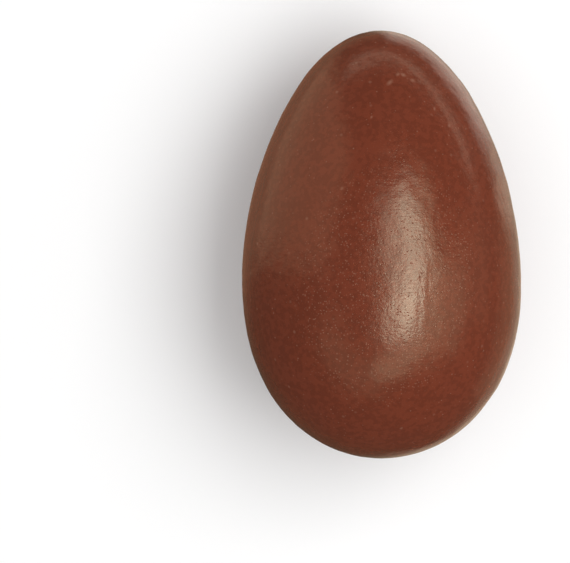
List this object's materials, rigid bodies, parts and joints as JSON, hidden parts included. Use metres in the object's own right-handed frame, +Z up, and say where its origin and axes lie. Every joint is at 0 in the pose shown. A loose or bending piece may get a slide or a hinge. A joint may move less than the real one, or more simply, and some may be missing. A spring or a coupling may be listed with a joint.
{
  "type": "chocolate egg",
  "caption": "Bare moulded milk-chocolate egg, pointed at one end and blunt at the other, lying on its side on a small flat spot.",
  "frame": {"origin": "middle of the base of the egg's box, on the surface that the egg lies on", "axes": "+Z up; +Y along the egg's length, towards the pointed end, which dips by about 6 degrees as an egg at rest does; +X across it"},
  "size_m": [0.039, 0.0598, 0.0392],
  "materials": {
    "milk_chocolate": "satin"
  },
  "bodies": {
    "root": {"chocolate_egg": "milk_chocolate"}
  },
  "joints": []
}
